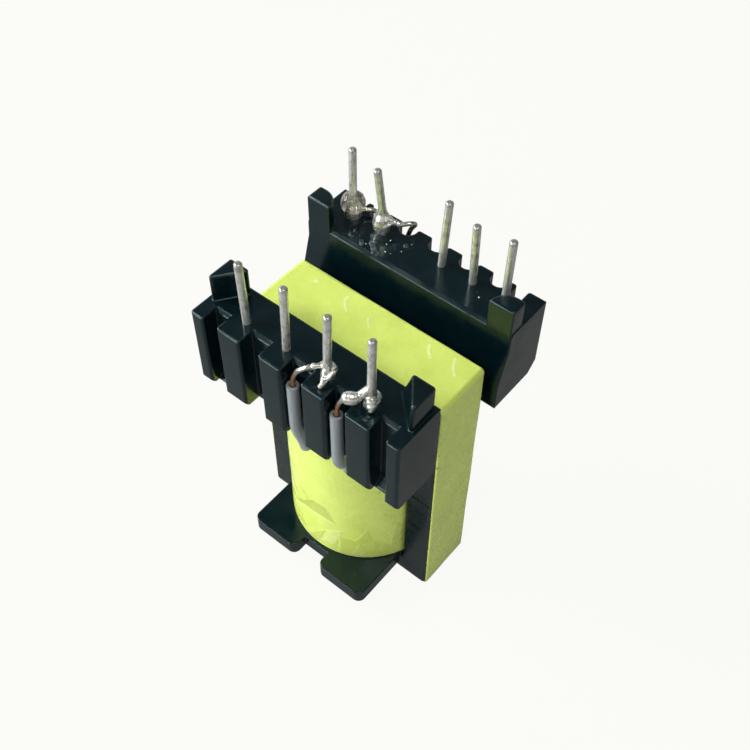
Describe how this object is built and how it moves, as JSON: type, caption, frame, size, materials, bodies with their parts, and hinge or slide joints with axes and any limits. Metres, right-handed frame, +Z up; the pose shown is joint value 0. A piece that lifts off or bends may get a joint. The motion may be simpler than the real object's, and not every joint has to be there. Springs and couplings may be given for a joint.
{
  "type": "switch-mode transformer for a circuit board",
  "caption": "Upright ferrite transformer with a round winding wrapped in yellow tape, a black bobbin with slotted rails, and wire pins for a circuit board.",
  "frame": {"origin": "middle of the taped core's end face, which the part stands on", "axes": "+X along the two pin rails, +Y from the four-pin rail to the five-pin rail, +Z up, the way the pins point"},
  "size_m": [0.028, 0.0251, 0.0489],
  "materials": {
    "bobbin_plastic": "moulded phenolic, half gloss",
    "ferrite": "fired and ground, dull",
    "yellow_tape": "polyester film, satin",
    "enamelled_copper": "enamelled wire",
    "tinned_pin": "tin plated, bright",
    "tinned_wire": "dipped in solder",
    "clear_sleeve": "thin translucent tube",
    "solder": "bright solder with traces of flux"
  },
  "bodies": {
    "root": {"bobbin": "bobbin_plastic", "core_half_lower": "ferrite", "core_half_upper": "ferrite", "core_tape_band": "yellow_tape", "front_lead_3_sleeve": "clear_sleeve", "front_lead_3_wire": "tinned_wire", "front_lead_4_sleeve": "clear_sleeve", "front_lead_4_wire": "tinned_wire", "front_pin_1": "tinned_pin", "front_pin_2": "tinned_pin", "front_pin_3": "tinned_pin", "front_pin_4": "tinned_pin", "front_solder_3": "solder", "front_solder_4": "solder", "inner_insulation_tape": "yellow_tape", "inner_primary_winding": "enamelled_copper", "middle_insulation_tape": "yellow_tape", "outer_insulation_tape": "yellow_tape", "outer_primary_winding": "enamelled_copper", "rear_lead_1_sleeve": "clear_sleeve", "rear_lead_1_wire": "tinned_wire", "rear_lead_2_sleeve": "clear_sleeve", "rear_lead_2_wire": "tinned_wire", "rear_pin_1": "tinned_pin", "rear_pin_2": "tinned_pin", "rear_pin_4": "tinned_pin", "rear_pin_5": "tinned_pin", "rear_pin_6": "tinned_pin", "rear_solder_1": "solder", "rear_solder_2": "solder", "secondary_winding": "enamelled_copper"}
  },
  "joints": []
}
